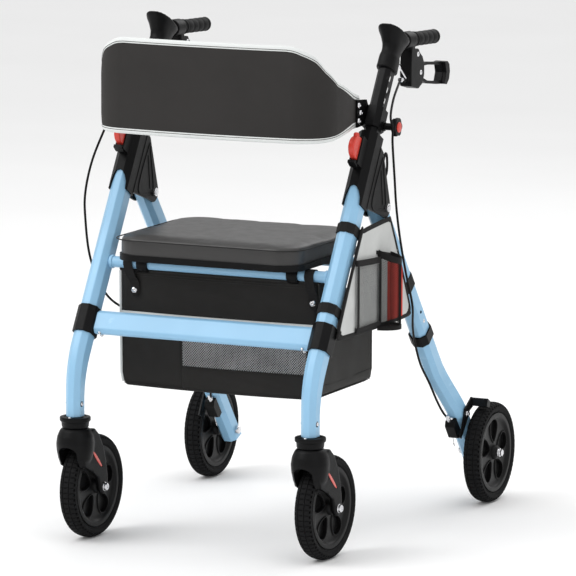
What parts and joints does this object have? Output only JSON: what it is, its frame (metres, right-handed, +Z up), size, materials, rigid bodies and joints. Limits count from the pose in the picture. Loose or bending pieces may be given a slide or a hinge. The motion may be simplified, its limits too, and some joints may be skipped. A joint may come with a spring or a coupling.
{
  "type": "rollator walker",
  "caption": "Folding rollator walker with casters in front, fixed wheels behind, loop brakes, a padded seat, a strap backrest, an underseat bag and a side pouch.",
  "frame": {"origin": "on the floor, at the middle of the walker's bounding box seen from above", "axes": "+Z up; -Y is the front, with the casters; +X is the side that carries the pouch"},
  "size_m": [0.673, 0.8674, 0.9989],
  "materials": {
    "frame_blue": "satin powder coat",
    "moulded_black": "fine moulded grain",
    "black_post": "black anodised",
    "bright_steel": "bright plated",
    "dark_steel": "black coated",
    "grip_rubber": "soft matt",
    "tyre_black": "matt",
    "rim_black": "moulded",
    "button_red": "gloss",
    "backrest_fabric": "fine ribbed weave with pale binding",
    "seat_vinyl": "grained vinyl",
    "bag_fabric": "coated nylon",
    "pouch_fabric": "pale grey nylon with black mesh",
    "cable_black": "smooth casing"
  },
  "bodies": {
    "front_frame": {"front_leg_L": "frame_blue", "front_leg_R": "frame_blue", "crossbar_collar_L": "moulded_black", "crossbar_collar_R": "moulded_black", "hinge_housing_L": "moulded_black", "hinge_housing_R": "moulded_black", "pivot_bolt_L": "bright_steel", "pivot_bolt_R": "bright_steel", "caster_socket_L": "moulded_black", "caster_socket_R": "moulded_black", "brake_cable_L": "cable_black", "brake_cable_R": "cable_black", "lower_crossbar": "frame_blue", "upper_crossbar": "frame_blue", "underseat_bag": "bag_fabric", "side_pouch": "pouch_fabric"},
    "rear_frame": {"rear_leg_L": "frame_blue", "rear_leg_R": "frame_blue", "cable_band_L": "moulded_black", "cable_band_R": "moulded_black", "brake_mount_L": "moulded_black", "brake_mount_R": "moulded_black", "rear_axle_L": "bright_steel", "rear_axle_R": "bright_steel", "rear_cross_tube": "frame_blue"},
    "seat": {"seat_pad": "seat_vinyl", "seat_board": "moulded_black"},
    "seat_link": {"seat_link": "dark_steel"},
    "backrest": {"backrest_band": "backrest_fabric", "backrest_bracket_L": "moulded_black", "backrest_bracket_R": "moulded_black"},
    "handle_L": {"handle_post_L": "black_post", "handle_head_L": "moulded_black", "grip_L": "grip_rubber", "brake_housing_L": "moulded_black"},
    "lever_L": {"brake_lever_L": "moulded_black"},
    "button_L": {"height_button_L": "button_red"},
    "knob_L": {"clamp_knob_L": "moulded_black"},
    "arm_L": {"brake_arm_L": "dark_steel"},
    "rear_wheel_L": {"rear_tyre_L": "tyre_black", "rear_rim_L": "rim_black"},
    "caster_L": {"caster_fork_L": "moulded_black", "caster_axle_L": "bright_steel"},
    "front_wheel_L": {"front_tyre_L": "tyre_black", "front_rim_L": "rim_black"},
    "handle_R": {"handle_post_R": "black_post", "handle_head_R": "moulded_black", "grip_R": "grip_rubber", "brake_housing_R": "moulded_black"},
    "lever_R": {"brake_lever_R": "moulded_black"},
    "button_R": {"height_button_R": "button_red"},
    "knob_R": {"clamp_knob_R": "moulded_black"},
    "arm_R": {"brake_arm_R": "dark_steel"},
    "rear_wheel_R": {"rear_tyre_R": "tyre_black", "rear_rim_R": "rim_black"},
    "caster_R": {"caster_fork_R": "moulded_black", "caster_axle_R": "bright_steel"},
    "front_wheel_R": {"front_tyre_R": "tyre_black", "front_rim_R": "rim_black"}
  },
  "joints": [
    {"name": "fold", "type": "hinge", "parent": "front_frame", "child": "rear_frame", "pos_m": [0, -0.09747, 0.64801], "axis": [-1, 0, 0], "range_deg": [0, 45], "deforming": ["underseat_bag", "brake_cable_L", "brake_cable_R"]},
    {"name": "seat_lift", "type": "hinge", "parent": "front_frame", "child": "seat", "pos_m": [0, -0.2755, 0.534], "axis": [1, 0, 0], "range_deg": [0, 42]},
    {"name": "seat_link_swing", "type": "hinge", "parent": "rear_frame", "child": "seat_link", "pos_m": [0, 0.0031, 0.52], "axis": [-1, 0, 0], "range_deg": [0, 3.5]},
    {"name": "backrest_height", "type": "slide", "parent": "front_frame", "child": "backrest", "axis": [0, 0.515, 0.8572], "range_m": [0, 0.02]},
    {"name": "handle_height_L", "type": "slide", "parent": "front_frame", "child": "handle_L", "axis": [0, 0.515, 0.8572], "range_m": [-0.03, 0.05]},
    {"name": "brake_squeeze_L", "type": "hinge", "parent": "handle_L", "child": "lever_L", "pos_m": [-0.25, 0.0855, 0.891], "axis": [1, 0, 0], "range_deg": [0, 14], "stiffness_Nm_per_rad": 1.2, "springref_deg": -20.05},
    {"name": "height_button_press_L", "type": "slide", "parent": "front_frame", "child": "button_L", "axis": [0, 0.8572, -0.515], "range_m": [0, 0.004], "stiffness_N_per_m": 400, "springref_m": -0.004},
    {"name": "clamp_knob_turn_L", "type": "hinge", "parent": "backrest", "child": "knob_L", "pos_m": [-0.271, -0.10459, 0.80664], "axis": [-1, 0, 0], "range_deg": [0, 360]},
    {"name": "brake_apply_L", "type": "hinge", "parent": "rear_frame", "child": "arm_L", "pos_m": [-0.31, 0.2641, 0.188], "axis": [-1, 0, 0], "range_deg": [0, 2.5]},
    {"name": "rear_wheel_spin_L", "type": "hinge", "parent": "rear_frame", "child": "rear_wheel_L", "pos_m": [-0.31, 0.3325, 0.101], "axis": [1, 0, 0], "continuous": true},
    {"name": "caster_swivel_L", "type": "hinge", "parent": "front_frame", "child": "caster_L", "pos_m": [-0.25, -0.3945, 0.225], "axis": [0, 0, 1], "continuous": true},
    {"name": "front_wheel_spin_L", "type": "hinge", "parent": "caster_L", "child": "front_wheel_L", "pos_m": [-0.24676, -0.33258, 0.101], "axis": [0.9986, -0.0523, 0], "continuous": true},
    {"name": "handle_height_R", "type": "slide", "parent": "front_frame", "child": "handle_R", "axis": [0, 0.515, 0.8572], "range_m": [-0.03, 0.05]},
    {"name": "brake_squeeze_R", "type": "hinge", "parent": "handle_R", "child": "lever_R", "pos_m": [0.25, 0.0855, 0.891], "axis": [1, 0, 0], "range_deg": [0, 14], "stiffness_Nm_per_rad": 1.2, "springref_deg": -20.05},
    {"name": "height_button_press_R", "type": "slide", "parent": "front_frame", "child": "button_R", "axis": [0, 0.8572, -0.515], "range_m": [0, 0.004], "stiffness_N_per_m": 400, "springref_m": -0.004},
    {"name": "clamp_knob_turn_R", "type": "hinge", "parent": "backrest", "child": "knob_R", "pos_m": [0.271, -0.10459, 0.80664], "axis": [1, 0, 0], "range_deg": [0, 360]},
    {"name": "brake_apply_R", "type": "hinge", "parent": "rear_frame", "child": "arm_R", "pos_m": [0.31, 0.2641, 0.188], "axis": [-1, 0, 0], "range_deg": [0, 2.5]},
    {"name": "rear_wheel_spin_R", "type": "hinge", "parent": "rear_frame", "child": "rear_wheel_R", "pos_m": [0.31, 0.3325, 0.101], "axis": [1, 0, 0], "continuous": true},
    {"name": "caster_swivel_R", "type": "hinge", "parent": "front_frame", "child": "caster_R", "pos_m": [0.25, -0.3945, 0.225], "axis": [0, 0, 1], "continuous": true},
    {"name": "front_wheel_spin_R", "type": "hinge", "parent": "caster_R", "child": "front_wheel_R", "pos_m": [0.25324, -0.33258, 0.101], "axis": [0.9986, -0.0523, 0], "continuous": true}
  ],
  "couplings": [
    {"joint": "seat_lift", "follows": "fold", "ratio": 0.925},
    {"joint": "seat_link_swing", "follows": "fold", "ratio": 0.075},
    {"joint": "brake_apply_L", "follows": "brake_squeeze_L", "ratio": 0.178},
    {"joint": "brake_apply_R", "follows": "brake_squeeze_R", "ratio": 0.178}
  ]
}
